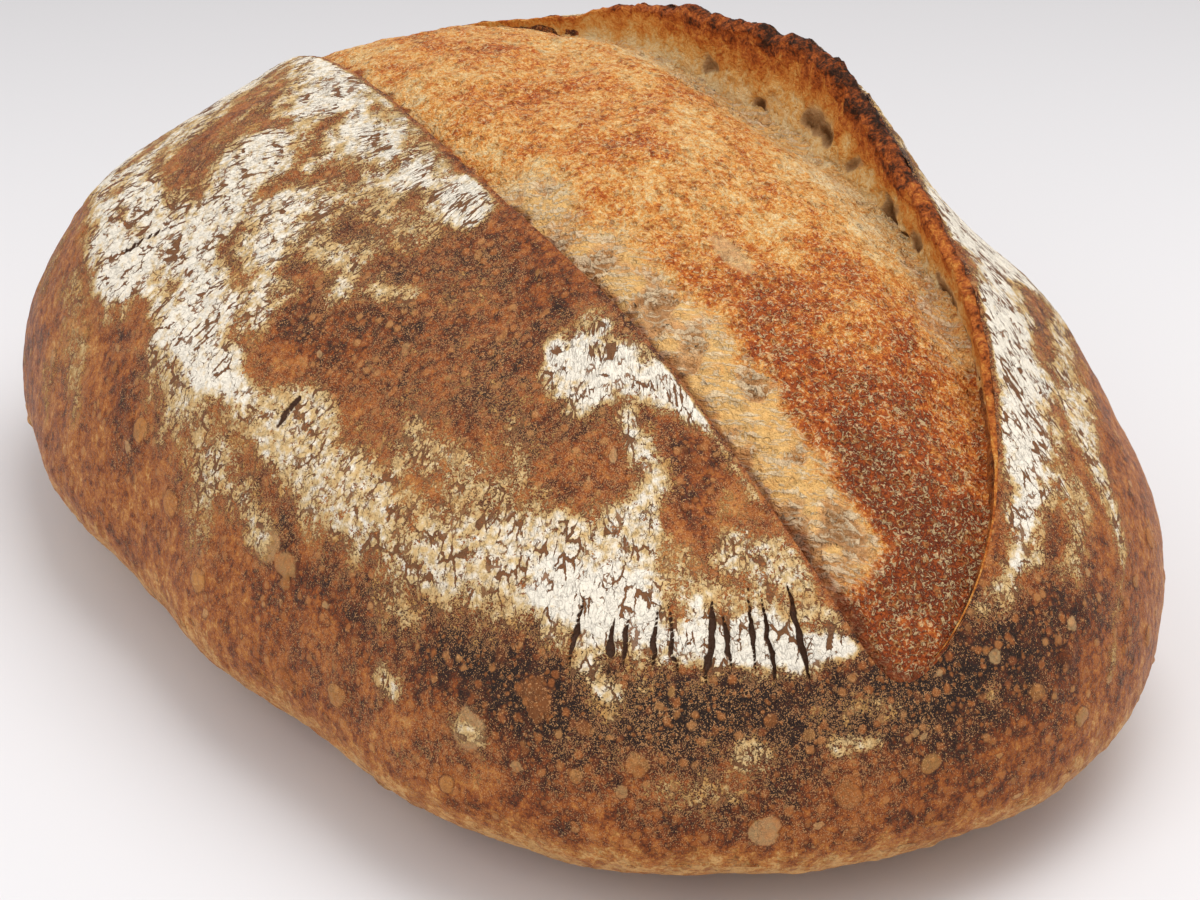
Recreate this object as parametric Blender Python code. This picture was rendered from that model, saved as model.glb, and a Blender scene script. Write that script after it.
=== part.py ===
"""Sourdough loaf: one solid of bread, resting on its flat base.

Metres, +Z up. X runs along the loaf, the raised ear is on the +Y side of the score.
"""
import math

import bmesh
import bpy
import numpy as np

# whole loaf
HALF_LENGTH = 0.135
HALF_WIDTH = 0.107
BODY_HEIGHT = 0.0961
OUTLINE_POWER = 1.99
END_TAPER = -0.069        # one end is narrower than the other
SQUARENESS = 0.293        # the ends stay full while the waist is pulled in
WIDEST_LEVEL = 0.251      # share of the height where the loaf is widest
BASE_SCALE = 0.728        # flat base against the widest outline
DOME_POWER = 0.953
DOME_SHIFT = 0.0098       # the top leans to the ear side
LENGTH_SLOPE = -0.055     # the top falls slowly towards +X

# the score's opening, an uneven lens
SCORE_MIDDLE = 0.007
SCORE_HALF_LENGTH = 0.119
SCORE_AXIS_Y = -0.002
SCORE_TIP_SHIFT = 0.005   # the near tip swings towards the lip's side
SCORE_LEFT_WIDTH = 0.019
SCORE_RIGHT_WIDTH = 0.050
SCORE_LEFT_POWER = 0.84
SCORE_RIGHT_POWER = 1.0

# lip, ear and crumb
LIP_RAISE = 0.0022
LIP_REACH = 0.011
LIP_DROP = 0.0030
EAR_PEAK = 0.0165
EAR_PEAK_X = -0.002
EAR_NEAR_REACH = 0.055
EAR_FAR_REACH = 0.050
EAR_SECOND_PEAK = 0.0045
EAR_SECOND_X = 0.082
EAR_SECOND_REACH = 0.025
EAR_LEAN = 0.48           # how far the rim stands outward for each unit of lift
EAR_FALL = 0.0115
EAR_RAGGED = 0.0007
BLOOM_RISE = 0.0007
VALLEY_DEPTH = 0.0042
LUMP_HEIGHT = 0.0007
FAR_SWELL = 0.0026        # the far end of the lip stands a little proud
FAR_SWELL_X = -0.086
FAR_SWELL_Y = -0.022
FAR_SWELL_REACH = 0.036

# the ring that the proofing basket's rim leaves on the near shoulder
SHOULDER_RISE = 0.0011
SHOULDER_LEVEL = 0.33
SHOULDER_SPREAD = 0.07

# mesh
COLUMNS = 104
DOME_ROWS = 15
SKIRT_ROWS = 6
BASE_ROWS = 3
CRUMB_COLUMNS = 15
EAR_ROWS = 3

CRUST_COLOUR = (0.30, 0.13, 0.05, 1.0)
CRUST_ROUGHNESS = 0.7


def clear_scene():
    for item in list(bpy.data.objects):
        bpy.data.objects.remove(item, do_unlink=True)


def outline_width(x):
    """Half width of the plan outline's Y stretch at lengthwise place x."""
    u = x / HALF_LENGTH
    return HALF_WIDTH * (1 + END_TAPER * u + SQUARENESS * (u * u - 0.5))


def body_point(turn, level):
    """Point of the smooth dome; level 1 is the top, 0 the widest ring, -1 the base's edge."""
    c, s = math.cos(turn), math.sin(turn)
    r = (abs(c) ** OUTLINE_POWER + abs(s) ** OUTLINE_POWER) ** (-1 / OUTLINE_POWER)
    x = HALF_LENGTH * r * c
    y = outline_width(x) * r * s
    if level >= 0:
        rise = math.sin(level * math.pi / 2)
        scale = max(math.cos(level * math.pi / 2), 0.0) ** DOME_POWER
        z = BODY_HEIGHT * (WIDEST_LEVEL + (1 - WIDEST_LEVEL) * rise)
    else:
        rise = 0.0
        scale = 1 - (1 - BASE_SCALE) * abs(level) ** 2.2
        z = BODY_HEIGHT * WIDEST_LEVEL * (1 + level)
    z *= 1 + LENGTH_SLOPE * x * scale / HALF_LENGTH
    return np.array([x * scale, y * scale + DOME_SHIFT * rise, z])


def turn_and_level(x, y):
    """The dome's turn and level under a plan point, by repeated substitution."""
    scale, rise = 0.5, 0.8
    for _ in range(40):
        width = outline_width(x / max(scale, 0.05))
        side = (y - DOME_SHIFT * rise) / width
        reach = abs(x / HALF_LENGTH) ** OUTLINE_POWER + abs(side) ** OUTLINE_POWER
        scale = min(reach ** (1 / OUTLINE_POWER), 0.9999)
        level = math.acos(scale ** (1 / DOME_POWER)) * 2 / math.pi
        rise = math.sin(level * math.pi / 2)
    return math.atan2(side, x / HALF_LENGTH), level


def dome_height(x, y):
    turn, level = turn_and_level(x, y)
    return body_point(turn, level)[2]


def lumps(x, y, z):
    """Slow unevenness of the whole loaf, about a millimetre."""
    wave = math.sin(61 * x + 1.3) * math.sin(74 * y + 0.4)
    wave += 0.7 * math.sin(97 * x - 83 * z + 2.1) + 0.5 * math.sin(139 * y + 90 * x)
    spot = ((x - FAR_SWELL_X) ** 2 + (y - FAR_SWELL_Y) ** 2) / FAR_SWELL_REACH ** 2
    return LUMP_HEIGHT * wave + FAR_SWELL * math.exp(-spot)


def score_edge(turn):
    """The lens around the opening; turn 0 is its near tip, positive turns the ear side."""
    c, s = math.cos(turn), math.sin(turn)
    x = SCORE_MIDDLE + SCORE_HALF_LENGTH * c
    axis = SCORE_AXIS_Y - SCORE_TIP_SHIFT * max(c, 0.0) ** 3
    if s >= 0:
        return x, axis + SCORE_RIGHT_WIDTH * s ** SCORE_RIGHT_POWER
    return x, axis - SCORE_LEFT_WIDTH * (-s) ** SCORE_LEFT_POWER


def ear_lift(x):
    reach = EAR_NEAR_REACH if x > EAR_PEAK_X else EAR_FAR_REACH
    lift = EAR_PEAK * math.exp(-((x - EAR_PEAK_X) / reach) ** 2)
    lift += EAR_SECOND_PEAK * math.exp(-((x - EAR_SECOND_X) / EAR_SECOND_REACH) ** 2)
    ragged = math.sin(410 * x) + 0.8 * math.sin(655 * x + 1.0) + 0.6 * math.sin(980 * x + 2.5)
    return lift + EAR_RAGGED * ragged * min(lift / 0.006, 1.0)


def crust_edge(turn):
    """Where the crust stops: on the lens on the lip's side, outside it along the ear."""
    x, y = score_edge(turn)
    lift = ear_lift(x) * max(math.sin(turn), 0.0) ** 0.35
    return x, y + EAR_LEAN * lift, lift


def crust_column(turn):
    """One column of crust points, from the edge of the opening down to the base's edge."""
    x, y, lift = crust_edge(turn)
    start_turn, start_level = turn_and_level(x, y)
    if start_turn < -1e-6 and turn > math.pi / 2:
        start_turn += 2 * math.pi
    if turn < 0 and start_turn > 0:
        start_turn -= 2 * math.pi
    left = max(-math.sin(turn), 0.0)
    points = []
    first = None
    for row in range(DOME_ROWS + SKIRT_ROWS + 1):
        share = min(row / DOME_ROWS, 1.0)
        share = share ** 1.25
        level = start_level * (1 - share) if row <= DOME_ROWS else -(row - DOME_ROWS) / SKIRT_ROWS
        here = body_point(start_turn + (turn - start_turn) * share, level)
        if first is None:
            first = here.copy()
        away = np.linalg.norm(here - first)
        outward = here - np.array([here[0] * 0.75, 0.0, BODY_HEIGHT * 0.3])
        outward /= np.linalg.norm(outward)
        bump = lumps(*here) * min(max(here[2], 0.0) / 0.01, 1.0)
        bump += SHOULDER_RISE * left ** 0.5 * math.exp(-((level - SHOULDER_LEVEL) / SHOULDER_SPREAD) ** 2)
        bump += LIP_RAISE * left ** 0.5 * math.exp(-(away / LIP_REACH) ** 2)
        raised = lift * math.exp(-(away / EAR_FALL) ** 1.6)
        here = here + outward * bump + np.array([0.0, 0.0, raised])
        points.append(here)
    return points


def crumb_row(left_point, right_point, valley):
    """Points across the opening: under the lip, over the bloom, into the valley, up the ear."""
    start = left_point
    span = valley[1] - start[1]
    width_share = min(span / 0.07, 1.0)
    points = []
    for step in range(1, CRUMB_COLUMNS + 1):
        share = step / CRUMB_COLUMNS
        x = start[0] + (valley[0] - start[0]) * share
        y = start[1] + span * share
        z = dome_height(x, y)
        swell = math.sin(math.pi * share) ** 0.8 * (0.75 + 0.5 * share)
        edge_drop = LIP_DROP * math.exp(-(share / 0.12) ** 2)
        valley_drop = VALLEY_DEPTH * math.exp(-((1 - share) / 0.16) ** 2)
        z += width_share * (BLOOM_RISE * swell - edge_drop - valley_drop) + lumps(x, y, z)
        points.append(np.array([x, y, z]))
    foot = points[-1]
    for step in range(1, EAR_ROWS + 1):
        share = step / (EAR_ROWS + 1)
        here = foot + (right_point - foot) * share
        here[1] -= 0.0012 * math.sin(math.pi * share) * width_share
        points.append(here)
    return points


def build_loaf():
    bm = bmesh.new()
    turns = [2 * math.pi * k / COLUMNS for k in range(COLUMNS)]
    turns = [t if t <= math.pi else t - 2 * math.pi for t in turns]
    columns = [[bm.verts.new(p) for p in crust_column(t)] for t in turns]
    for k, column in enumerate(columns):
        after = columns[(k + 1) % COLUMNS]
        for row in range(len(column) - 1):
            bm.faces.new((column[row], column[row + 1], after[row + 1], after[row]))

    # the flat base closes towards its middle
    rim = [column[-1] for column in columns]
    ring = rim
    for row in range(1, BASE_ROWS):
        inner = [bm.verts.new(v.co * (1 - row / BASE_ROWS)) for v in rim]
        for k in range(COLUMNS):
            after = (k + 1) % COLUMNS
            bm.faces.new((ring[k], inner[k], inner[after], ring[after]))
        ring = inner
    middle = bm.verts.new((0.0, 0.0, 0.0))
    for k in range(COLUMNS):
        bm.faces.new((ring[k], middle, ring[(k + 1) % COLUMNS]))

    # the opening, one row of points for each pair of columns
    half = COLUMNS // 2
    rows = []
    for k in range(1, half):
        right = columns[k][0]
        left = columns[COLUMNS - k][0]
        x, y = score_edge(turns[k])
        inner = crumb_row(np.array(left.co), np.array(right.co), (x, y))
        rows.append([left] + [bm.verts.new(p) for p in inner] + [right])
    for row, after in zip(rows, rows[1:]):
        for a in range(len(row) - 1):
            bm.faces.new((row[a], row[a + 1], after[a + 1], after[a]))
    near_tip, far_tip = columns[0][0], columns[half][0]
    for a in range(len(rows[0]) - 1):
        bm.faces.new((near_tip, rows[0][a + 1], rows[0][a]))
        bm.faces.new((far_tip, rows[-1][a], rows[-1][a + 1]))

    bmesh.ops.recalc_face_normals(bm, faces=bm.faces)
    return bm


def centre_on_base(bm):
    """Middle of the box over the origin, base at z = 0."""
    places = np.array([v.co for v in bm.verts])
    low, high = places.min(axis=0), places.max(axis=0)
    shift = (low + high) / 2
    shift[2] = low[2]
    for vert in bm.verts:
        vert.co = [a - b for a, b in zip(vert.co, shift)]


def crust_material():
    material = bpy.data.materials.new("baked_crust")
    material.use_nodes = True
    shader = material.node_tree.nodes["Principled BSDF"]
    shader.inputs["Base Color"].default_value = CRUST_COLOUR
    shader.inputs["Roughness"].default_value = CRUST_ROUGHNESS
    shader.inputs["Metallic"].default_value = 0.0
    return material


clear_scene()
loaf_mesh = bpy.data.meshes.new("loaf")
loaf_bm = build_loaf()
centre_on_base(loaf_bm)
loaf_bm.to_mesh(loaf_mesh)
loaf_bm.free()
loaf_mesh.materials.append(crust_material())
loaf_mesh.polygons.foreach_set("use_smooth", [True] * len(loaf_mesh.polygons))
loaf = bpy.data.objects.new("loaf", loaf_mesh)
bpy.context.scene.collection.objects.link(loaf)
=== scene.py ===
# Sourdough loaf: the crust, the opened crumb and the raised ear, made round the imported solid
import math
from functools import partial
import bpy
import numpy as np
from mathutils import Matrix, Vector
from mathutils.kdtree import KDTree


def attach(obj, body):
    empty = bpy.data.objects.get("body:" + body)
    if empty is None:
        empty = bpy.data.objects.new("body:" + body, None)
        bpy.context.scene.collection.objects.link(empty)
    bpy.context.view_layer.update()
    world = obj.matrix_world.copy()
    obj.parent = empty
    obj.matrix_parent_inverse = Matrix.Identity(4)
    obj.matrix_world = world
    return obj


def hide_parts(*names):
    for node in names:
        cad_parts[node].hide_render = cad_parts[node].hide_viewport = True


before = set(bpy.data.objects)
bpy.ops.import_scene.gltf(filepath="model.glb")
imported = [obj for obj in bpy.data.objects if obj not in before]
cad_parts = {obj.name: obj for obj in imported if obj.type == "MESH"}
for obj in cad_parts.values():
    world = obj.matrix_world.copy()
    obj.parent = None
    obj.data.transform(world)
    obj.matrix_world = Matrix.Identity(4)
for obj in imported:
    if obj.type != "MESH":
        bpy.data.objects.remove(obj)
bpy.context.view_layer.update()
mm = 0.001

# the loaf's own shape, in metres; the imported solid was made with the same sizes
loaf = dict(
    halfLength=0.135, halfWidth=0.107, height=0.0961, outlinePower=1.99, endTaper=-0.069,
    squareness=0.293, widestLevel=0.251, baseScale=0.728, domePower=0.953, domeShift=0.0098,
    lengthSlope=-0.055, lumpHeight=0.0007, farSwell=0.0026, farSwellX=-0.086, farSwellY=-0.022,
    farSwellReach=0.036, shoulderRise=0.0011, shoulderLevel=0.33, shoulderSpread=0.07,
)
score = dict(
    middle=0.007, halfLength=0.119, axisY=-0.002, tipShift=0.005, leftWidth=0.019,
    rightWidth=0.050, leftPower=0.84, rightPower=1.0, lipRaise=0.0022, lipReach=0.011,
    lipDrop=0.0030, bloomRise=0.0007, valleyDepth=0.0042,
)
ear = dict(
    peak=0.0165, peakX=-0.002, nearReach=0.055, farReach=0.050, secondPeak=0.0045, secondX=0.082,
    secondReach=0.025, lean=0.48, fall=0.0115, thickness=0.0034,
)


# numbers that vary from place to place
def lattice(ix, iy, iz, seed):
    h = (ix * 374761393 + iy * 668265263 + iz * 1442695041 + seed * 974711) & 0xffffffff
    h = ((h ^ (h >> 13)) * 1274126177) & 0xffffffff
    return ((h ^ (h >> 16)) & 0xffff) / 32767.5 - 1.0


def noise(points, size, seed, octaves=2):
    # soft random waves between -1 and 1, size metres across
    total = np.zeros(points.shape[:-1])
    weight, norm = 1.0, 0.0
    for octave in range(octaves):
        scaled = points / size * 2.0 ** octave + seed * 7.31
        cell = np.floor(scaled).astype(np.int64)
        part = scaled - cell
        part = part * part * (3 - 2 * part)
        value = np.zeros(points.shape[:-1])
        for corner in range(8):
            dx, dy, dz = corner & 1, (corner >> 1) & 1, corner >> 2
            share = np.where(dx, part[..., 0], 1 - part[..., 0])
            share = share * np.where(dy, part[..., 1], 1 - part[..., 1])
            share = share * np.where(dz, part[..., 2], 1 - part[..., 2])
            value += share * lattice(cell[..., 0] + dx, cell[..., 1] + dy, cell[..., 2] + dz, seed + octave)
        total += value * weight
        norm += weight
        weight *= 0.5
    return total / norm


def smooth(low, high, value):
    share = np.clip((value - low) / (high - low), 0, 1)
    return share * share * (3 - 2 * share)


def bell(value, middle, spread):
    return np.exp(-((value - middle) / spread) ** 2)


# the loaf's shape
def outlineWidth(x):
    u = x / loaf["halfLength"]
    return loaf["halfWidth"] * (1 + loaf["endTaper"] * u + loaf["squareness"] * (u * u - 0.5))


def bodyPoint(turn, level):
    # turn goes round the loaf, level is 1 on top, 0 at the widest ring, -1 at the base's edge
    c, s = np.cos(turn), np.sin(turn)
    power = loaf["outlinePower"]
    r = (np.abs(c) ** power + np.abs(s) ** power) ** (-1 / power)
    x = loaf["halfLength"] * r * c
    y = outlineWidth(x) * r * s
    rise = np.sin(np.clip(level, 0, 1) * math.pi / 2)
    dome = np.clip(np.cos(np.clip(level, 0, 1) * math.pi / 2), 0, 1) ** loaf["domePower"]
    skirt = 1 - (1 - loaf["baseScale"]) * np.abs(np.minimum(level, 0)) ** 2.2
    scale = np.where(level >= 0, dome, skirt)
    z = loaf["height"] * (loaf["widestLevel"] * (1 + np.minimum(level, 0)) + (1 - loaf["widestLevel"]) * rise)
    z = z * (1 + loaf["lengthSlope"] * x * scale / loaf["halfLength"])
    return np.stack([x * scale, y * scale + loaf["domeShift"] * rise, z], -1)


def turnAndLevel(x, y):
    scale, rise = np.full(np.shape(x), 0.5), 0.8
    for _ in range(40):
        width = outlineWidth(x / np.maximum(scale, 0.05))
        side = (y - loaf["domeShift"] * rise) / width
        power = loaf["outlinePower"]
        reach = np.abs(x / loaf["halfLength"]) ** power + np.abs(side) ** power
        scale = np.minimum(reach ** (1 / power), 0.9999)
        level = np.arccos(scale ** (1 / loaf["domePower"])) * 2 / math.pi
        rise = np.sin(level * math.pi / 2)
    return np.arctan2(side, x / loaf["halfLength"]), level


def domeHeight(x, y):
    turn, level = turnAndLevel(x, y)
    return bodyPoint(turn, level)[..., 2]


def lumps(p):
    x, y, z = p[..., 0], p[..., 1], p[..., 2]
    wave = np.sin(61 * x + 1.3) * np.sin(74 * y + 0.4)
    wave = wave + 0.7 * np.sin(97 * x - 83 * z + 2.1) + 0.5 * np.sin(139 * y + 90 * x)
    spot = ((x - loaf["farSwellX"]) ** 2 + (y - loaf["farSwellY"]) ** 2) / loaf["farSwellReach"] ** 2
    return loaf["lumpHeight"] * wave + loaf["farSwell"] * np.exp(-spot)


def scoreEdge(turn):
    c, s = np.cos(turn), np.sin(turn)
    x = score["middle"] + score["halfLength"] * c
    axis = score["axisY"] - score["tipShift"] * np.maximum(c, 0) ** 3
    right = axis + score["rightWidth"] * np.maximum(s, 0) ** score["rightPower"]
    left = axis - score["leftWidth"] * np.maximum(-s, 0) ** score["leftPower"]
    return x, np.where(s >= 0, right, left)


def earLift(x):
    reach = np.where(x > ear["peakX"], ear["nearReach"], ear["farReach"])
    lift = ear["peak"] * np.exp(-((x - ear["peakX"]) / reach) ** 2)
    return lift + ear["secondPeak"] * np.exp(-((x - ear["secondX"]) / ear["secondReach"]) ** 2)


def crustEdge(turn):
    x, y = scoreEdge(turn)
    lift = earLift(x) * np.maximum(np.sin(turn), 0) ** 0.35
    return x, y + ear["lean"] * lift, lift


def crustSheet(turn, row):
    # turn and row are grids; row 0 is the edge of the opening, 1 the widest ring, 2 the base's edge
    x, y, lift = crustEdge(turn)
    startTurn, startLevel = turnAndLevel(x, y)
    startTurn = startTurn + 2 * math.pi * (np.round((turn - startTurn) / (2 * math.pi)))
    share = np.clip(row, 0, 1) ** 1.25
    level = np.where(row <= 1, startLevel * (1 - share), -(row - 1))
    around = startTurn + (turn - startTurn) * share
    here = bodyPoint(around, level)
    first = bodyPoint(startTurn, startLevel)
    away = np.linalg.norm(here - first, axis=-1)
    core = np.stack([here[..., 0] * 0.75, np.zeros_like(x), np.full_like(x, loaf["height"] * 0.3)], -1)
    outward = here - core
    outward = outward / np.linalg.norm(outward, axis=-1, keepdims=True)
    left = np.maximum(-np.sin(turn), 0)
    bump = lumps(here) * np.clip(here[..., 2] / 0.01, 0, 1)
    shoulder = bell(level, loaf["shoulderLevel"], loaf["shoulderSpread"])
    bump = bump + loaf["shoulderRise"] * np.sqrt(left) * shoulder
    bump = bump + score["lipRaise"] * np.sqrt(left) * np.exp(-(away / score["lipReach"]) ** 2)
    raised = lift * np.exp(-(away / ear["fall"]) ** 1.6)
    here = here + outward * bump[..., None]
    here[..., 2] += raised
    return here, outward, around, level, away, lift


def rimWander(places):
    # the torn upper edge of the ear rises and falls
    return noise(places, 7 * mm, 26, 3) * 1.7 * mm + noise(places, 2.1 * mm, 27, 3) * 1.3 * mm


# making a sheet with its own grid, shaping it and closing it
def makeSheet(name, across, down):
    bpy.ops.object.select_all(action="DESELECT")
    bpy.ops.mesh.primitive_grid_add(x_subdivisions=across, y_subdivisions=down, size=1, calc_uvs=True)
    piece = bpy.context.object
    piece.name = name
    piece.data.name = name
    places = readPlaces(piece)
    column = np.rint((places[:, 0] + 0.5) * across).astype(int)
    row = np.rint((places[:, 1] + 0.5) * down).astype(int)
    return piece, column, row


def readPlaces(piece):
    places = np.empty(len(piece.data.vertices) * 3)
    piece.data.vertices.foreach_get("co", places)
    return places.reshape(-1, 3)


def writePlaces(piece, places):
    piece.data.vertices.foreach_set("co", np.ascontiguousarray(places).ravel())
    piece.data.update()


def giveField(piece, name, values):
    layer = piece.data.attributes.new(name, "FLOAT", "POINT")
    layer.data.foreach_set("value", np.ascontiguousarray(values, dtype=np.float32))


def giveVector(piece, name, values):
    layer = piece.data.attributes.new(name, "FLOAT_VECTOR", "POINT")
    layer.data.foreach_set("vector", np.ascontiguousarray(values, dtype=np.float32).ravel())


def closeSheet(piece, steps):
    # each step is a function from the open edge's places to the places of the next hidden ring
    bpy.ops.object.mode_set(mode="EDIT")
    bpy.ops.mesh.select_mode(type="EDGE")
    bpy.ops.mesh.select_all(action="DESELECT")
    bpy.ops.mesh.select_non_manifold()
    for step in steps:
        bpy.ops.mesh.extrude_edges_move()
        bpy.ops.object.mode_set(mode="OBJECT")
        places = readPlaces(piece)
        chosen = np.zeros(len(places), dtype=bool)
        piece.data.vertices.foreach_get("select", chosen)
        places[chosen] = step(places[chosen])
        writePlaces(piece, places)
        bpy.ops.object.mode_set(mode="EDIT")
    bpy.ops.mesh.extrude_edges_move()
    bpy.ops.mesh.merge(type="CENTER")
    bpy.ops.mesh.select_all(action="SELECT")
    bpy.ops.mesh.normals_make_consistent(inside=False)
    bpy.ops.object.mode_set(mode="OBJECT")
    bpy.ops.object.shade_smooth_by_angle(angle=math.radians(62))


def finishPiece(piece, material):
    piece.data.materials.clear()
    piece.data.materials.append(material)
    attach(piece, "root")
    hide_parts("loaf")
    print("made", piece.name, len(piece.data.polygons), "faces")


# where the flour lies: strokes over the crust as (turn in degrees, level, half width in mm)
flour = dict(
    perTurn=1.9 * mm * 180 / math.pi,    # surface length for one radian of turn
    perLevel=115 * mm,                   # surface length for one unit of level
    strokes=[
        # the ring that the proofing basket's rim left along the shoulder
        (1.30, [(-10, .29, 1.5), (-16, .295, 4), (-24, .305, 6), (-34, .318, 8), (-43, .335, 7)]),
        (0.96, [(-43, .335, 6.5), (-54, .33, 9), (-62, .31, 12), (-70, .325, 12), (-78, .355, 9),
                (-93, .355, 7)]),
        (1.20, [(-90, .36, 5), (-104, .36, 7.5), (-120, .35, 8.5), (-134, .345, 8), (-150, .34, 7)]),
        # the lobe under its far half, and wisps below
        (0.92, [(-108, .335, 6), (-98, .29, 8), (-88, .245, 8.5), (-80, .205, 5)]),
        (0.70, [(-90, .19, 5), (-86, .13, 4)]),
        (0.72, [(-126, .27, 5), (-118, .21, 4.5), (-112, .13, 3.5)]),
        (0.66, [(-138, .26, 5), (-134, .17, 4)]),
        (0.60, [(-121, .12, 4), (-118, .06, 3)]),
        # the top between the far end of the lip and the ring
        (1.20, [(-166, .58, 8), (-152, .66, 10), (-138, .71, 10.5), (-124, .73, 10), (-108, .745, 9),
                (-94, .755, 7), (-82, .75, 4)]),
        (1.18, [(-178, .48, 9), (-162, .48, 9), (-150, .45, 9), (-141, .40, 9), (-128, .41, 7)]),
        (1.16, [(-140, .40, 8), (-126, .42, 9), (-112, .425, 9), (-101, .42, 7)]),
        (1.12, [(-131, .60, 8), (-122, .55, 8), (-114, .48, 7)]),
        (1.10, [(-114, .58, 9), (-106, .53, 10), (-98, .48, 9)]),
        (0.92, [(-101, .57, 7), (-93, .60, 6), (-90, .55, 5)]),
        (0.86, [(-86, .585, 5), (-80, .60, 4)]),
        (0.80, [(-114, .66, 6), (-100, .68, 7), (-88, .69, 5)]),
        (0.62, [(-136, .60, 9), (-118, .60, 8), (-106, .62, 8)]),
        # the near half of the lip
        (1.28, [(-50, .63, 5), (-42, .635, 8), (-34, .64, 6), (-28, .63, 4.5), (-23, .585, 3)]),
        (0.80, [(-23, .585, 3), (-18, .50, 2.5), (-14, .42, 2), (-11, .34, 2)]),
        (1.02, [(-35, .57, 5), (-31, .51, 5.5), (-34, .45, 7.5), (-40, .395, 8), (-50, .385, 7)]),
        (0.70, [(-53, .52, 5), (-49, .465, 5)]),
        (0.74, [(-28, .42, 5), (-34, .43, 5)]),
        (0.92, [(-22, .43, 6), (-15, .39, 5)]),
        (0.84, [(-28, .37, 5), (-20, .35, 5), (-12, .33, 3)]),
        (0.78, [(-66, .45, 7), (-56, .43, 7), (-46, .42, 7)]),
        # thin dusting over the brown top
        (0.40, [(-78, .50, 14), (-62, .55, 15), (-48, .52, 12), (-34, .50, 12)]),
        (0.40, [(-84, .66, 12), (-66, .68, 10)]),
        (0.36, [(-60, .44, 8), (-44, .44, 8)]),
        # splashes on the near flank
        (0.90, [(-61, .122, 3), (-59, .115, 2.5)]),
        (0.84, [(-50.5, .115, 3.4), (-48.5, .115, 3)]),
        (0.84, [(-22, .155, 3.5), (-21, .145, 3)]),
        (0.62, [(-24, .10, 4), (-29, .085, 4)]),
        (0.84, [(-13, .155, 2.4), (-9, .155, 2.4)]),
        (0.58, [(-15, .21, 4), (-8, .20, 4)]),
        (0.60, [(3, .18, 2)]),
        (0.30, [(-36, .13, 9), (-20, .13, 12), (-6, .17, 10)]),
        (0.36, [(-70, .10, 6), (-58, .06, 6), (-46, .07, 5)]),
        # beside the ear and down the other flank
        (1.28, [(86, .50, 15), (72, .50, 15), (60, .53, 14), (48, .57, 12), (37, .55, 9.5), (27, .50, 8),
                (19, .44, 7), (13, .37, 5.5), (9, .33, 4)]),
        (1.00, [(58, .44, 7), (44, .46, 6), (36, .43, 5.5), (31, .38, 5), (29, .31, 4.5),
                (27, .235, 4)]),
        (0.66, [(27, .235, 3), (22, .17, 3), (20, .11, 2.5)]),
        (0.94, [(12, .33, 5), (7, .315, 5), (3, .30, 3.5)]),
        (0.80, [(22, .36, 5), (17, .29, 4)]),
        (0.66, [(15, .29, 3)]),
        # the side away from the view
        (1.0, [(88, .36, 5), (110, .35, 6), (140, .34, 6), (165, .35, 5), (180, .36, 5)]),
        (0.95, [(96, .55, 9), (120, .60, 9), (145, .62, 8), (165, .62, 6)]),
        (0.75, [(100, .22, 6), (120, .20, 5), (150, .24, 6)]),
        (0.40, [(70, .2, 10), (110, .45, 14), (150, .48, 12)]),
    ],
)
blisters = dict(
    count=900, smallest=0.5 * mm, spread=1.15 * mm, height=0.20,
    # larger ones, listed one by one: turn, level, radius in mm, tone from -1 dark to 1 pale
    placed=[(-78.5, .20, 3.6, .75), (-75.5, .185, 3.2, .6), (-43, .195, 4.2, .05), (-32, .13, 2.4, .35),
            (-93, .14, 2.6, .35), (-49.5, .115, 4.2, .9), (-19.5, .03, 3.4, .8), (-27, .40, 2.2, .2),
            (-42, .41, 3.4, -.9), (-101, .20, 2.4, .5), (-86, .07, 2.2, .5), (-66, .05, 2.4, .5),
            (-12, .08, 2.8, .2), (-4, .10, 2.2, .5), (8, .15, 2.0, .3), (30, .08, 2.6, .4),
            (14, .07, 2.0, .6), (36, .2, 2.4, .3), (-118, .22, 2.2, .5)],
)
splits = dict(count=13, large=10, longest=10 * mm, widest=1.5 * mm)   # dry cracks across the flour ring


def skinPlace(turn, level):
    return np.stack([turn * flour["perTurn"], level * flour["perLevel"], np.zeros_like(turn)], -1)


def strokeField(place, ragged):
    # place is the unrolled skin position, ragged moves the outline about by a few millimetres
    field = np.zeros(place.shape[:-1])
    for strength, stops in flour["strokes"]:
        stops = [(math.radians(a) * flour["perTurn"], b * flour["perLevel"], c * mm) for a, b, c in stops]
        if len(stops) == 1:
            stops = stops * 2
        for (ax, ay, ar), (bx, by, br) in zip(stops, stops[1:]):
            dx, dy = bx - ax, by - ay
            length = max(dx * dx + dy * dy, 1e-12)
            share = np.clip(((place[..., 0] - ax) * dx + (place[..., 1] - ay) * dy) / length, 0, 1)
            off = np.hypot(place[..., 0] - ax - share * dx, place[..., 1] - ay - share * dy)
            radius = ar + (br - ar) * share
            inside = smooth(1.75, 0.15, off / radius + ragged)
            field = np.maximum(field, strength * inside)
    return field


def makeBlisters(random):
    spots = []
    for turn, level, radius, tone in blisters["placed"]:
        spots.append((math.radians(turn), level, radius * mm, tone))
    while len(spots) < blisters["count"]:
        turn = random.uniform(-math.pi, math.pi)
        level = random.uniform(-0.75, 0.30) if random.random() < 0.72 else random.uniform(0.3, 0.75)
        radius = blisters["smallest"] + random.exponential(1) * blisters["spread"] * 0.42
        spots.append((turn, level, min(radius, 2.6 * mm), random.uniform(-0.5, 1)))
    return spots


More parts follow.
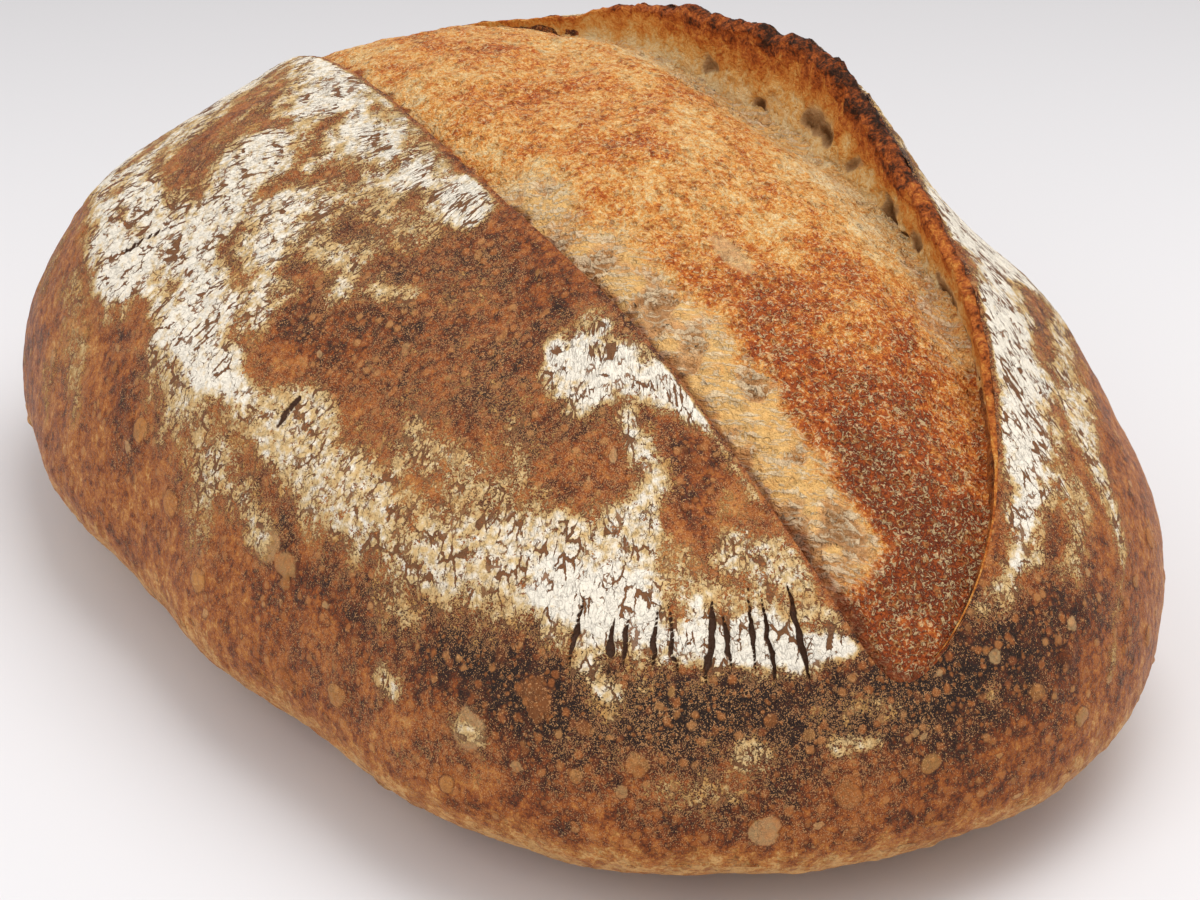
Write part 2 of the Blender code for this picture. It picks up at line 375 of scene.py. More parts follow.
def blisterFields(place, spots):
    tree = KDTree(len(spots))
    for index, (turn, level, _, _) in enumerate(spots):
        tree.insert((turn * flour["perTurn"], level * flour["perLevel"], 0), index)
    tree.balance()
    flat = place.reshape(-1, 3)
    found = [tree.find(point)[1:] for point in flat.tolist()]
    index = np.array([hit[0] for hit in found])
    distance = np.array([hit[1] for hit in found])
    radius = np.array([spot[2] for spot in spots])[index]
    tone = np.array([spot[3] for spot in spots])[index]
    shape = place.shape[:-1]
    return distance.reshape(shape), radius.reshape(shape), tone.reshape(shape)


def splitField(place, random):
    # how deep each place lies in one of the dry cracks that cross the flour ring, 0 to 1
    deep = np.zeros(place.shape[:-1])
    for number in range(splits["count"]):
        turn = math.radians(random.uniform(-150, -38) if number % 4 else random.uniform(12, 170))
        level = random.uniform(0.27, 0.42) if number % 3 else random.uniform(0.25, 0.72)
        large = number < splits["large"]
        if large:
            turn = math.radians(-39 + 25 * (number + random.uniform(-0.2, 0.6)) / splits["large"])
            level = random.uniform(0.285, 0.330)
        length = splits["longest"] * random.uniform(0.25, 0.6) * (1.25 if large else 1.0)
        width = splits["widest"] * random.uniform(0.35, 0.62)
        x, y = turn * flour["perTurn"], level * flour["perLevel"]
        lean = random.uniform(-0.22, 0.22)
        near = (np.abs(place[..., 0] - x) < 7 * mm) & (np.abs(place[..., 1] - y) < 9 * mm)
        if not near.any():
            continue
        local = place[near]
        along = (local[..., 1] - y) / length
        wander = lean * (local[..., 1] - y) + 0.9 * mm * noise(local + number * 0.01, 2.2 * mm, 8, 2)
        off = np.abs(local[..., 0] - x - wander)
        reach = width * np.clip(1 - along * along, 0, 1)
        deep[near] = np.maximum(deep[near], np.clip(1.25 - off / np.maximum(reach, 1e-6), 0, 1))
    return deep


# crust
crust = dict(across=560, domeRows=128, skirtRows=38, random=11)


def crustRows(count, skirt):
    return np.concatenate([np.linspace(0, 1, count + 1), np.linspace(1, 2, skirt + 1)[1:]])


def makeCrust(name, firstTurn, lastTurn, across):
    rows = crustRows(crust["domeRows"], crust["skirtRows"])
    down = len(rows) - 1
    piece, column, row = makeSheet(name, across, down)
    turns = np.linspace(firstTurn, lastTurn, across + 1)
    turn, rowGrid = np.meshgrid(turns, rows, indexing="ij")
    here, outward, around, level, away, lift = crustSheet(turn, rowGrid)
    place = skinPlace(around, level)
    random = np.random.RandomState(crust["random"])
    spots = makeBlisters(random)
    bent = np.stack([noise(here, 2.6 * mm, 5, 2), noise(here, 2.6 * mm, 6, 2), 0 * turn], -1) * 0.8 * mm
    distance, radius, tone = blisterFields(place + bent, spots)
    deep = splitField(place, random)

    ragged = noise(here, 15 * mm, 3, 5) * 1.05 + noise(here, 4 * mm, 4, 3) * 0.55
    cover = strokeField(place, ragged)
    cover *= 1 - 0.85 * np.exp(-(away / (0.9 * mm)) ** 2)
    dome = np.clip(1 - (distance / radius) ** 2, 0, 1)
    powder = smooth(0.45, 0.75, cover)
    low = smooth(0.12, -0.35, level)   # 1 where the skin turns under
    fade = np.clip(here[..., 2] / (4 * mm), 0, 1)

    lift0 = noise(here, 13 * mm, 21, 3) * 0.55 * mm
    lift0 = lift0 + noise(here, 4.2 * mm, 22, 2) * (0.16 + 0.32 * low) * mm
    lift0 = lift0 + noise(here, 1.7 * mm, 23, 2) * (0.10 + 0.12 * low) * mm
    lift0 = lift0 + np.sqrt(dome) * radius * blisters["height"]
    lift0 = lift0 + powder * (0.16 * mm + 0.10 * mm * noise(here, 2.2 * mm, 24, 2))
    deep = deep * smooth(0.35, 0.7, cover)
    lift0 = lift0 - deep * 0.75 * mm
    char = smooth(4.5 * mm, 0.3 * mm, away) * smooth(5 * mm, 13 * mm, lift)
    lift0 = lift0 + char * noise(here, 1.6 * mm, 25, 3) * 0.6 * mm
    here = here + outward * (lift0 * fade)[..., None]
    ragZ = smooth(3 * mm, 0, away) * np.clip(lift / (6 * mm), 0, 1)
    here[..., 2] += ragZ * rimWander(here)

    # brown: 0 pale gold, 1 nearly black
    degrees = np.degrees(around)
    brown = 0.52 + 0.12 * noise(here, 22 * mm, 31, 2)
    brown = brown + 0.52 * bell(level, 0.215, 0.070) * bell(degrees, -26, 44)
    brown = brown + 0.12 * bell(level, 0.10, 0.10) * bell(degrees, -20, 40)
    brown = brown + 0.14 * smooth(0.36, 0.55, level) * smooth(-150, -100, degrees)
    brown = brown + 0.12 * bell(degrees, 2, 16) * bell(level, 0.25, 0.1)
    brown = brown - 0.16 * bell(degrees, 34, 22) * bell(level, 0.16, 0.14)
    brown = brown - 0.34 * low - 0.10 * bell(degrees, -100, 30) * bell(level, 0.15, 0.12)
    brown = brown + 0.30 * char

    order = (column, row)
    writePlaces(piece, here[order])
    giveField(piece, "flour", cover[order])
    giveField(piece, "brown", brown[order])
    giveField(piece, "blister", dome[order])
    giveField(piece, "tone", tone[order])
    giveField(piece, "split", deep[order])
    giveField(piece, "char", char[order])
    giveVector(piece, "skin", place[order])

    def under(edge):
        # the hidden ring behind the skin: well inside the loaf all round
        inner = edge * np.array([0.80, 0.62, 1.0])
        earSide = smooth(4 * mm, 16 * mm, edge[:, 1]) * smooth(40 * mm, 60 * mm, edge[:, 2])
        inner[:, 1] += earSide * (0.38 * edge[:, 1] + 3 * mm)
        inner[:, 2] = np.clip(inner[:, 2] - 16 * mm, 4 * mm, 62 * mm)
        return inner

    closeSheet(piece, [under])
    return piece


# crumb in the opening
crumb = dict(along=480, across=190, tuck=3.0 * mm)


def crumbPlaces(turn, share):
    leftX, leftY = scoreEdge(-turn)
    valleyX, valleyY = scoreEdge(turn)
    x = leftX + (valleyX - leftX) * share
    span = valleyY - leftY
    y = leftY + span * share
    widthShare = np.clip(span / 0.07, 0, 1)
    z = domeHeight(x, y)
    inside = np.clip(share, 0, 1)
    swell = np.sin(math.pi * inside) ** 0.8 * (0.75 + 0.5 * inside)
    edgeDrop = score["lipDrop"] * np.exp(-(share / 0.12) ** 2)
    valleyDrop = score["valleyDepth"] * np.exp(-((1 - share) / 0.16) ** 2)
    z = z + widthShare * (score["bloomRise"] * swell - edgeDrop - valleyDrop)
    here = np.stack([x, y, z], -1)
    here[..., 2] += lumps(here)
    return here, widthShare


def makeCrumb():
    piece, column, row = makeSheet("crumb", crumb["along"], crumb["across"])
    turns = np.linspace(0.02, math.pi - 0.02, crumb["along"] + 1)
    shares = np.linspace(-0.06, 1.06, crumb["across"] + 1)
    turn, share = np.meshgrid(turns, shares, indexing="ij")
    here, widthShare = crumbPlaces(turn, share)
    x, y = here[..., 0], here[..., 1]
    tuckLeft = smooth(0.03, -0.06, share)
    tuckRight = smooth(0.97, 1.06, share)
    here[..., 2] += tuckRight * 2.0 * mm - tuckLeft * 3.5 * mm

    # stretched: the pale torn crumb along the lip and beside the ear; toast: the browned swelling
    fromLip = (y - scoreEdge(-turn)[1])
    wander = noise(here, 16 * mm, 41, 3)
    stretched = smooth(17 * mm, 7 * mm, fromLip + wander * 9 * mm)
    stretched *= smooth(-14 * mm, 12 * mm, x + wander * 8 * mm)
    stretched *= smooth(118 * mm, 106 * mm, x)
    fromValley = scoreEdge(turn)[1] - y
    rightPale = smooth(15 * mm, 4 * mm, fromValley + wander * 4 * mm) * smooth(112 * mm, 80 * mm, x)
    # strands run slantwise from the lip to the swelling
    slant = np.stack([(x - y) * 0.7071, (x + y) * 0.7071 * 0.22, 0 * x], -1)
    slant = slant + noise(here, 5 * mm, 57, 2)[..., None] * 0.9 * mm
    strand = smooth(0.16, 0.0, np.abs(noise(slant, 1.7 * mm, 56, 2)))
    holes = noise(here * np.array([1.0, 0.7, 1.0]), 5.2 * mm, 42, 2)
    torn = np.maximum(stretched, 0.6 * rightPale * smooth(-0.1, 0.3, wander))
    hollow = torn * smooth(-0.12, 0.30, holes)
    toast = 0.40 + 0.22 * wander + 0.53 * smooth(25 * mm, 112 * mm, x) * (1 - 0.9 * stretched)
    toast = toast + 0.12 * bell(fromLip, 22 * mm, 10 * mm) - 0.26 * stretched - 0.22 * rightPale
    toast = toast + 0.16 * noise(here, 6 * mm, 43, 3)
    lipTorn = smooth(3.9 * mm, 2.2 * mm, fromLip + noise(here, 4 * mm, 44, 3) * 2.2 * mm)
    toast = toast + 0.42 * lipTorn
    pale = np.exp(-(((x - 43 * mm) / (7 * mm)) ** 2 + ((y - 7 * mm) / (2.6 * mm)) ** 2))

    rise = noise(here, 10 * mm, 51, 3) * 1.3 * mm + noise(here, 3.4 * mm, 52, 3) * 0.55 * mm
    flake = np.abs(noise(here * np.array([1.0, 1.3, 1.0]), 2.6 * mm, 55, 3))
    rise = rise + noise(here, 1.2 * mm, 53, 2) * 0.2 * mm - smooth(0.16, 0.0, flake) * 0.28 * mm
    rise = rise - hollow * 1.4 * mm * (1 - 0.7 * strand) + pale * 0.6 * mm
    rise = rise + torn * (strand - 0.4) * 0.7 * mm
    edge = smooth(-0.02, 0.06, share) * (0.3 + 0.7 * widthShare)
    here[..., 2] += rise * edge

    order = (column, row)
    writePlaces(piece, here[order])
    giveField(piece, "toast", toast[order])
    giveField(piece, "stretched", torn[order])
    giveField(piece, "strand", strand[order])
    giveField(piece, "hollow", hollow[order])
    giveField(piece, "pale", pale[order])
    giveField(piece, "torn", lipTorn[order])

    def under(edgePlaces):
        inner = edgePlaces * np.array([0.9, 0.8, 1.0])
        inner[:, 2] = np.minimum(inner[:, 2] - 12 * mm, 60 * mm)
        return inner

    closeSheet(piece, [under])
    return piece


# the ear's inner side and charred rim
earSheet = dict(along=520, across=64)


def makeEar():
    piece, column, row = makeSheet("ear", earSheet["along"], earSheet["across"])
    turns = np.linspace(0.05, math.pi - 0.05, earSheet["along"] + 1)
    shares = np.linspace(0, 1, earSheet["across"] + 1)   # 0 under the crumb, 1 where the outer crust starts
    turn, share = np.meshgrid(turns, shares, indexing="ij")
    outer, outward, _, _, away, lift = crustSheet(turn, np.zeros_like(turn))
    raggedPlaces = outer + outward * 0
    ragZ = np.clip(lift / (6 * mm), 0, 1)
    outer[..., 2] += ragZ * rimWander(raggedPlaces)
    foot, widthShare = crumbPlaces(turn, np.ones_like(turn))
    foot[..., 2] -= 3.2 * mm
    thick = ear["thickness"] * np.clip(lift / (9 * mm), 0.18, 1)
    innerRim = outer - np.stack([np.zeros_like(thick), thick, thick * 0.25], -1)
    rimAt = 0.86
    climb = np.clip(share / rimAt, 0, 1)
    face = foot + (innerRim - foot) * climb[..., None]
    belly = np.sin(math.pi * climb) * widthShare
    face[..., 1] += belly * 0.9 * mm
    roll = np.clip((share - rimAt) / (1 - rimAt), 0, 1)
    cap = innerRim + (outer - innerRim) * roll[..., None]
    cap[..., 2] += np.sin(math.pi * roll) * thick * 0.22
    here = np.where((share <= rimAt)[..., None], face, cap)

    height = lift / (12 * mm)
    cells = noise(here * np.array([1.0, 1.0, 1.3]), 6.5 * mm, 61, 2)
    hollow = smooth(-0.05, 0.35, cells) * bell(climb, 0.30, 0.24) * (share < rimAt)
    hollow = hollow * smooth(2 * mm, 6 * mm, lift)
    rough = noise(here, 3.6 * mm, 62, 4) * 1.3 * mm + noise(here, 1.1 * mm, 63, 2) * 0.45 * mm
    body = smooth(0, 0.12, share) * smooth(1.0, 0.93, share) * np.clip(height, 0.40, 1)
    here[..., 1] += (hollow * 1.5 * mm + rough * (0.5 + 0.5 * np.clip(lift / (10 * mm), 0, 1))) * body
    here[..., 2] += rough * 0.6 * body

    order = (column, row)
    writePlaces(piece, here[order])
    giveField(piece, "climb", (climb * 0.86 + roll * 0.14)[order])
    giveField(piece, "hollow", hollow[order])
    giveField(piece, "high", np.clip(height, 0, 1)[order])

    def under(edgePlaces):
        inner = edgePlaces.copy()
        inner[:, 1] = inner[:, 1] + 2 * mm
        inner[:, 2] = np.minimum(inner[:, 2] - 14 * mm, 66 * mm)
        return inner

    closeSheet(piece, [under])
    return piece


# underside
base = dict(across=260, down=60)


def makeBase():
    piece, column, row = makeSheet("underside", base["across"], base["down"])
    turns = np.linspace(-math.pi, math.pi, base["across"] + 1)
    shares = np.linspace(0, 1, base["down"] + 1)
    turn, share = np.meshgrid(turns, shares, indexing="ij")
    rim = bodyPoint(turn, np.full_like(turn, -1.0))
    here = rim * (1 - share)[..., None]
    uneven = 0.12 * mm * (1 + noise(here, 3 * mm, 71, 3))
    here[..., 2] = uneven * smooth(0, 0.06, share) * smooth(1, 0.9, share)
    order = (column, row)
    writePlaces(piece, here[order])
    giveField(piece, "middle", share[order])
    bpy.ops.object.mode_set(mode="EDIT")
    bpy.ops.mesh.select_all(action="SELECT")
    bpy.ops.mesh.remove_doubles(threshold=0.00002)
    bpy.ops.object.mode_set(mode="OBJECT")

    def under(edgePlaces):
        inner = edgePlaces * 0.9
        inner[:, 2] = 8 * mm
        return inner

    closeSheet(piece, [under])
    return piece


# node materials
def linear(code):
    parts = [int(code[i:i + 2], 16) / 255 for i in (1, 3, 5)]
    parts = [p / 12.92 if p <= 0.04045 else ((p + 0.055) / 1.055) ** 2.4 for p in parts]
    return (*parts, 1.0)


class Wire:
    # a node's output that is added, subtracted and multiplied like a number
    def __init__(self, tree, socket):
        self.tree = tree
        self.socket = socket

    def out(self, name):
        return Wire(self.tree, self.socket.node.outputs[name])

    def __add__(self, other):
        return add(self.tree, "Math", {"operation": "ADD"}, i0=self, i1=other)

    def __sub__(self, other):
        return add(self.tree, "Math", {"operation": "SUBTRACT"}, i0=self, i1=other)

    def __mul__(self, other):
        return add(self.tree, "Math", {"operation": "MULTIPLY"}, i0=self, i1=other)


def join(tree, node, links):
    # sockets by name, or by i and their number; a value is a wire, a number or a colour code
    for key, value in links.items():
        socket = node.inputs[int(key[1:]) if key[1:].isdigit() else key.replace("_", " ")]
        if isinstance(value, Wire):
            tree.links.new(value.socket, socket)
        else:
            socket.default_value = linear(value) if isinstance(value, str) else value


def add(tree, kind, settings=None, **links):
    # one node with its settings and links; gives the first output in use
    node = tree.nodes.new("ShaderNode" + kind)
    for key, value in (settings or {}).items():
        if key != "stops":
            setattr(node, key, value)
            continue
        marks = node.color_ramp.elements
        while len(marks) < len(value):
            marks.new(0.5)
        for mark, (position, code) in zip(marks, value):
            mark.position = position
            mark.color = linear(code)
    join(tree, node, links)
    return Wire(tree, next(socket for socket in node.outputs if socket.enabled))


def startMaterial(name, **fixed):
    material = bpy.data.materials.new(name)
    material.use_nodes = True
    tree = material.node_tree
    shader = tree.nodes["Principled BSDF"]
    join(tree, shader, fixed)
    return material, tree, shader


softStep = {"interpolation_type": "SMOOTHSTEP"}
colourMix = {"data_type": "RGBA"}
cellEdges = {"feature": "DISTANCE_TO_EDGE"}


def crustMaterial():
    # baked wheat crust, dark and half glossy where bare, with rice flour baked on in cracked matt sheets
    material, tree, shader = startMaterial("bakedFlouredCrust", Specular_IOR_Level=0.26, IOR=1.45)
    node = partial(add, tree)
    place = node("TexCoord").out("Object")
    skin = node("Attribute", {"attribute_name": "skin"}).out("Vector")
    names = ("flour", "brown", "blister", "tone", "split", "char")
    flourAmount, brownAmount, blister, blisterTone, splitDepth, char = [
        node("Attribute", {"attribute_name": name}).out("Fac") for name in names]
    patch = node("TexNoise", Vector=place, Scale=1 / (9 * mm))
    mottle = node("TexNoise", Vector=place, Scale=1 / (2.1 * mm), Detail=3.0, Roughness=0.6)
    speck = node("TexNoise", Vector=place, Scale=1 / (0.55 * mm), Roughness=0.65)
    grain = node("TexNoise", Vector=place, Scale=1 / (0.22 * mm), Detail=1.0)
    roughSpeck = speck - 0.5

    # the skin's brown, in patches and mottles
    tone = brownAmount + (patch - 0.5) * 0.70 + (mottle - 0.5) * 1.05 + roughSpeck * 0.80
    brown = node("ValToRGB", {"stops": [
        (0.08, "#d3a264"), (0.24, "#bd7c3a"), (0.40, "#a35a22"), (0.54, "#803e15"),
        (0.68, "#56280f"), (0.84, "#351a0c"), (1.0, "#231209")]}, Fac=tone)

    # small bubbles under the skin, about two and one millimetres wide, orange against the dark
    shake = node("TexNoise", Vector=place, Scale=1 / (1.1 * mm)).out("Color")
    shake = node("VectorMath", {"operation": "SCALE"}, i0=shake, Scale=0.9 * mm)
    shaken = node("VectorMath", {"operation": "ADD"}, i0=place, i1=shake)
    cells = node("TexVoronoi", Vector=shaken, Scale=1 / (2.3 * mm))
    chance = node("SeparateColor", Color=cells.out("Color"))
    bubble = node("MapRange", softStep, i0=cells, i1=0.46, i2=0.24)
    bubble = bubble * node("MapRange", softStep, i0=chance, i1=0.45, i2=0.55)
    bubbleColour = node("ValToRGB", {"stops": [
        (0.5, "#8e4a20"), (0.75, "#b0682f"), (1.0, "#c28a50")]}, Fac=chance)
    brown = node("Mix", colourMix, i0=bubble * 0.70, i6=brown, i7=bubbleColour)
    cells = node("TexVoronoi", Vector=shaken, Scale=1 / (1.15 * mm))
    smallChance = node("SeparateColor", Color=cells.out("Color")).out("Green")
    smallBubble = node("MapRange", softStep, i0=cells, i1=0.5, i2=0.2)
    smallBubble = smallBubble * node("MapRange", softStep, i0=smallChance, i1=0.5, i2=0.6)
    brown = node("Mix", colourMix, i0=smallBubble * 0.60, i6=brown, i7="#ad6831")

    # blisters, and the charred edge beside the ear
    share = node("MapRange", softStep, i0=blisterTone, i1=-1.0, i2=1.0)
    blisterColour = node("ValToRGB", {"stops": [
        (0.0, "#33190e"), (0.35, "#874519"), (0.6, "#b06a30"), (0.85, "#c9924f"), (1.0, "#d8b27c")]},
        Fac=share)
    mask = node("MapRange", softStep, i0=blister + roughSpeck * 0.7, i1=0.05, i2=0.40) * 0.52
    mask = mask * node("MapRange", softStep, i0=mottle, i1=0.25, i2=0.6, i3=0.55, i4=1.0)
    brown = node("Mix", colourMix, i0=mask, i6=brown, i7=blisterColour)
    # a dark ring painted round the foot of each blister: painted shade in the crease where the dome meets the
    # skin
    rim = node("MapRange", softStep, i0=blister, i1=0.0, i2=0.10)
    rim = rim * node("MapRange", softStep, i0=blister, i1=0.30, i2=0.12)
    brown = node("Mix", colourMix, i0=rim * 0.5, i6=brown, i7="#4a2412")
    burnt = node("MapRange", softStep, i0=char + mottle * 0.6, i1=0.65, i2=1.1)
    brown = node("Mix", colourMix, i0=burnt, i6=brown, i7="#2a170e")

    # flour: cracked sheets with torn edges, then dust and stray grains
    drift = node("TexNoise", Vector=place, Scale=1 / (3.6 * mm), Detail=4.0, Roughness=0.78)
    cover = flourAmount + (drift - 0.5) * 1.9 + roughSpeck * 1.5 + (grain - 0.5) * 0.9
    sheet = node("MapRange", softStep, i0=cover, i1=0.62, i2=0.76)
    bend = node("TexNoise", Vector=skin, Scale=1 / (1.3 * mm), Roughness=0.7).out("Color")
    bend = node("VectorMath", {"operation": "SCALE"}, i0=bend, Scale=1.7 * mm)
    bent = node("VectorMath", {"operation": "ADD"}, i0=skin, i1=bend)
    long = node("Mapping", Vector=bent, Scale=(1 / (2.4 * mm), 1 / (4.0 * mm), 1.0))
    short = node("Mapping", Vector=bent, Scale=(1 / (1.3 * mm), 1 / (1.5 * mm), 1.0))
    longCells = node("TexVoronoi", cellEdges, Vector=long, Scale=1.0)
    shortCells = node("TexVoronoi", cellEdges, Vector=short, Scale=1.0)
    width = node("TexNoise", Vector=place, Scale=1 / (4.5 * mm))
    width = node("MapRange", softStep, i0=width, i1=0.47, i2=0.66, i3=-0.02, i4=0.075)
    longCrack = node("MapRange", softStep, i0=longCells - width, i1=0.03, i2=0.0)
    width = node("TexNoise", Vector=place, Scale=1 / (3.1 * mm))
    width = node("MapRange", softStep, i0=width, i1=0.50, i2=0.68, i3=-0.02, i4=0.095)
    shortCrack = node("MapRange", softStep, i0=shortCells - width, i1=0.02, i2=0.0)
    split = node("MapRange", softStep, i0=splitDepth + roughSpeck * 0.5, i1=0.30, i2=0.55)
    crack = node("Math", {"operation": "MAXIMUM"}, i0=longCrack, i1=shortCrack * 0.8)
    crack = node("Math", {"operation": "MAXIMUM"}, i0=crack, i1=split)
    thick = sheet * node("Math", {"operation": "SUBTRACT"}, i0=1.0, i1=crack)
    dust = node("MapRange", softStep, i0=cover + (grain - 0.5) * 2.4 + roughSpeck * 0.8, i1=0.48, i2=0.60)
    stray = node("MapRange", softStep, i0=speck * 0.5 + grain * 0.5 + patch * 0.35, i1=0.79, i2=0.84)
    cream = node("TexNoise", Vector=place, Scale=1 / (1.5 * mm), Detail=3.0)
    flourColour = node("ValToRGB", {"stops": [(0.45, "#c9975a"), (0.76, "#e0c08a"), (0.99, "#fbf1df")]},
                       Fac=flourAmount * 0.85 + (cream - 0.5) * 0.9)
    colour = node("Mix", colourMix, i0=stray * 0.45, i6=brown, i7="#c9a473")
    colour = node("Mix", colourMix, i0=dust * 0.62, i6=colour, i7="#cf9560")
    colour = node("Mix", colourMix, i0=thick, i6=colour, i7=flourColour)
    colour = node("Mix", colourMix, i0=crack * sheet * 0.72, i6=colour, i7="#53301a")
    colour = node("Mix", colourMix, i0=split * 0.85, i6=colour, i7="#2c170c")

    lumpy = node("MapRange", softStep, i0=shortCells, i1=0.0, i2=0.35)
    height = thick * 0.26 + speck * 0.34 + mottle * 0.50 + bubble * 0.20 + smallBubble * 0.12 + grain * 0.12
    height = height + crack * -0.16 + thick * lumpy * 0.34
    bump = node("Bump", Strength=1.0, Distance=1.0 * mm, Height=height)
    join(tree, shader, dict(Base_Color=colour, Roughness=thick * 0.40 + dust * 0.12 + 0.46, Normal=bump))
    return material


def crumbMaterial():
    # the dough that swelled through the cut: a thin golden skin of burst bubbles, pale and stringy
    # where it tore last
    material, tree, shader = startMaterial("toastedOpenCrumb", Specular_IOR_Level=0.25, IOR=1.45)
    node = partial(add, tree)
    place = node("TexCoord").out("Object")
    names = ("toast", "stretched", "hollow", "strand", "pale", "torn")
    toast, stretched, hollow, strand, pale, lipTorn = [
        node("Attribute", {"attribute_name": name}).out("Fac") for name in names]
    wide = node("TexNoise", Vector=place, Scale=1 / (7 * mm), Detail=3.0, Roughness=0.6)
    mottle = node("TexNoise", Vector=place, Scale=1 / (2.0 * mm), Detail=3.0, Roughness=0.62, Distortion=0.6)
    speck = node("TexNoise", Vector=place, Scale=1 / (0.6 * mm), Roughness=0.6)
    tone = toast + (wide - 0.5) * 0.70 + (mottle - 0.5) * 1.05 + (speck - 0.5) * 0.95
    gold = node("ValToRGB", {"stops": [
        (0.0, "#ffe6b4"), (0.22, "#fbcb84"), (0.40, "#f2ab55"), (0.56, "#e08736"),
        (0.72, "#bd5c1e"), (0.88, "#8f3a13"), (1.0, "#67280e")]}, Fac=tone)

    # whole bubbles, painted lighter in the middle: a painted highlight on each bubble's top
    cells = node("TexVoronoi", {"feature": "SMOOTH_F1"}, Vector=place, Scale=1 / (1.9 * mm), Smoothness=0.35)
    chance = node("SeparateColor", Color=cells.out("Color"))
    light = node("MapRange", softStep, i0=cells, i1=0.42, i2=0.12)
    light = light * node("MapRange", softStep, i0=chance, i1=0.35, i2=0.7)
    gold = node("Mix", colourMix, i0=light * 0.26, i6=gold, i7="#eeb56a")

    # burst bubbles: a red-brown pit, painted dark as painted shade in the hollow, inside a thin rim painted
    # pale as a painted highlight
    shake = node("TexNoise", Vector=place, Scale=1 / (1.2 * mm), Detail=3.0).out("Color")
    shake = node("VectorMath", {"operation": "SCALE"}, i0=shake, Scale=1.3 * mm)
    shaken = node("VectorMath", {"operation": "ADD"}, i0=place, i1=shake)
    pits = node("TexVoronoi", Vector=shaken, Scale=1 / (2.1 * mm))
    burst = node("SeparateColor", Color=pits.out("Color")).out("Blue")
    burst = node("MapRange", softStep, i0=burst, i1=0.42, i2=0.50)
    pit = node("MapRange", softStep, i0=pits, i1=0.30, i2=0.18) * burst
    rim = node("MapRange", softStep, i0=pits, i1=0.48, i2=0.38)
    rim = rim * node("MapRange", softStep, i0=pits, i1=0.26, i2=0.34) * burst
    toasty = node("MapRange", softStep, i0=toast + (wide - 0.5) * 1.2, i1=0.25, i2=0.70, i3=0.35, i4=1.0)
    gold = node("Mix", colourMix, i0=pit * toasty * 0.75, i6=gold, i7="#8a3f18")
    gold = node("Mix", colourMix, i0=rim * toasty * 0.42, i6=gold, i7="#eda95e")
    flake = node("TexNoise", Vector=place, Scale=1 / (1.1 * mm), Detail=3.0, Roughness=0.8, Distortion=1.2)
    dark = node("MapRange", softStep, i0=flake, i1=0.54, i2=0.58)
    gold = node("Mix", colourMix, i0=dark * toasty * 0.75, i6=gold, i7="#b4561f")
    bright = node("MapRange", softStep, i0=flake, i1=0.46, i2=0.41)
    gold = node("Mix", colourMix, i0=bright * 0.60, i6=gold, i7="#f7dba4")

    # strings of crumb across the hollows, a little over half a millimetre apart
    bend = node("TexNoise", Vector=place, Scale=1 / (3.0 * mm), Detail=3.0).out("Color")
    bend = node("VectorMath", {"operation": "SCALE"}, i0=bend, Scale=1.6 * mm)
    bent = node("VectorMath", {"operation": "ADD"}, i0=place, i1=bend)
    bent = node("Mapping", Vector=bent, Rotation=(0, 0, -0.78))
    bent = node("Mapping", Vector=bent, Scale=(1 / (4.2 * mm), 1 / (0.62 * mm), 1 / (1.6 * mm)))
    thread = node("TexNoise", Vector=bent, Scale=1.0, Roughness=0.6)
    string = node("MapRange", softStep, i0=thread + strand * 0.18, i1=0.50, i2=0.68)
    # the hollows are painted darker the deeper they sink: painted shade in the recesses
    hollowPaintedShadeColour = node("ValToRGB", {"stops": [
        (0.0, "#ffc878"), (0.30, "#fbbe78"), (0.65, "#e6a86c"), (1.0, "#b57a48")]},
        Fac=hollow + (mottle - 0.5) * 0.9)
    torn = node("Mix", colourMix, i0=string * 0.85, i6=hollowPaintedShadeColour, i7="#ffe6be")
    amount = stretched + (mottle - 0.5) * 0.9 + (thread - 0.5) * 1.1
    amount = node("MapRange", softStep, i0=amount, i1=0.30, i2=0.75) * 0.85
    colour = node("Mix", colourMix, i0=amount, i6=gold, i7=torn)
    pale = node("MapRange", softStep, i0=pale, i1=0.3, i2=0.6)
    colour = node("Mix", colourMix, i0=pale * 0.6, i6=colour, i7="#ecc48c")
    lipColour = node("ValToRGB", {"stops": [
        (0.3, "#55240f"), (0.5, "#86401e"), (0.7, "#b0622f")]}, Fac=mottle)
    colour = node("Mix", colourMix, i0=lipTorn * 0.75, i6=colour, i7=lipColour)

    height = mottle * 1.5 + speck * 0.8 + light * 0.3 + rim * 0.3 + flake * -0.8 + pit * -0.45
    height = height + string * amount * 0.5
    bump = node("Bump", Strength=1.0, Distance=1.0 * mm, Height=height)
    rough = node("MapRange", softStep, i0=mottle, i1=0.3, i2=0.7, i3=0.48, i4=0.68)
    join(tree, shader, dict(Base_Color=colour, Roughness=rough, Normal=bump))
    return material


